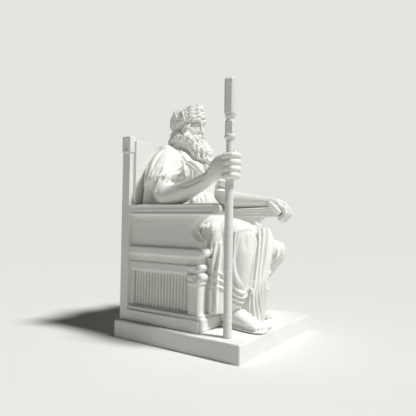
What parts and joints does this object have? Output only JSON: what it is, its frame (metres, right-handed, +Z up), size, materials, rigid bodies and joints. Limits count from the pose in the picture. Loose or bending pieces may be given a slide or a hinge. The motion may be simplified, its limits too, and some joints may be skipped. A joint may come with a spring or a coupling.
{
  "type": "seated zeus statue",
  "caption": "Matt white statuette of a bearded, wreathed god seated on a high-backed throne with an upright staff, on a square slab.",
  "frame": {"origin": "centre of the slab's underside, which stands on the ground", "axes": "+Z up; the figure looks along -Y; its right hand and the staff are on the -X side"},
  "size_m": [0.12, 0.1183, 0.1948],
  "materials": {
    "base": "matt white printed plastic with fine level lines",
    "throne": "matt white printed plastic with fine level lines",
    "figure": "matt white printed plastic with fine level lines",
    "staff": "matt white printed plastic with fine level lines"
  },
  "bodies": {
    "root": {"base": "base", "throne": "throne", "figure": "figure", "staff": "staff"}
  },
  "joints": []
}
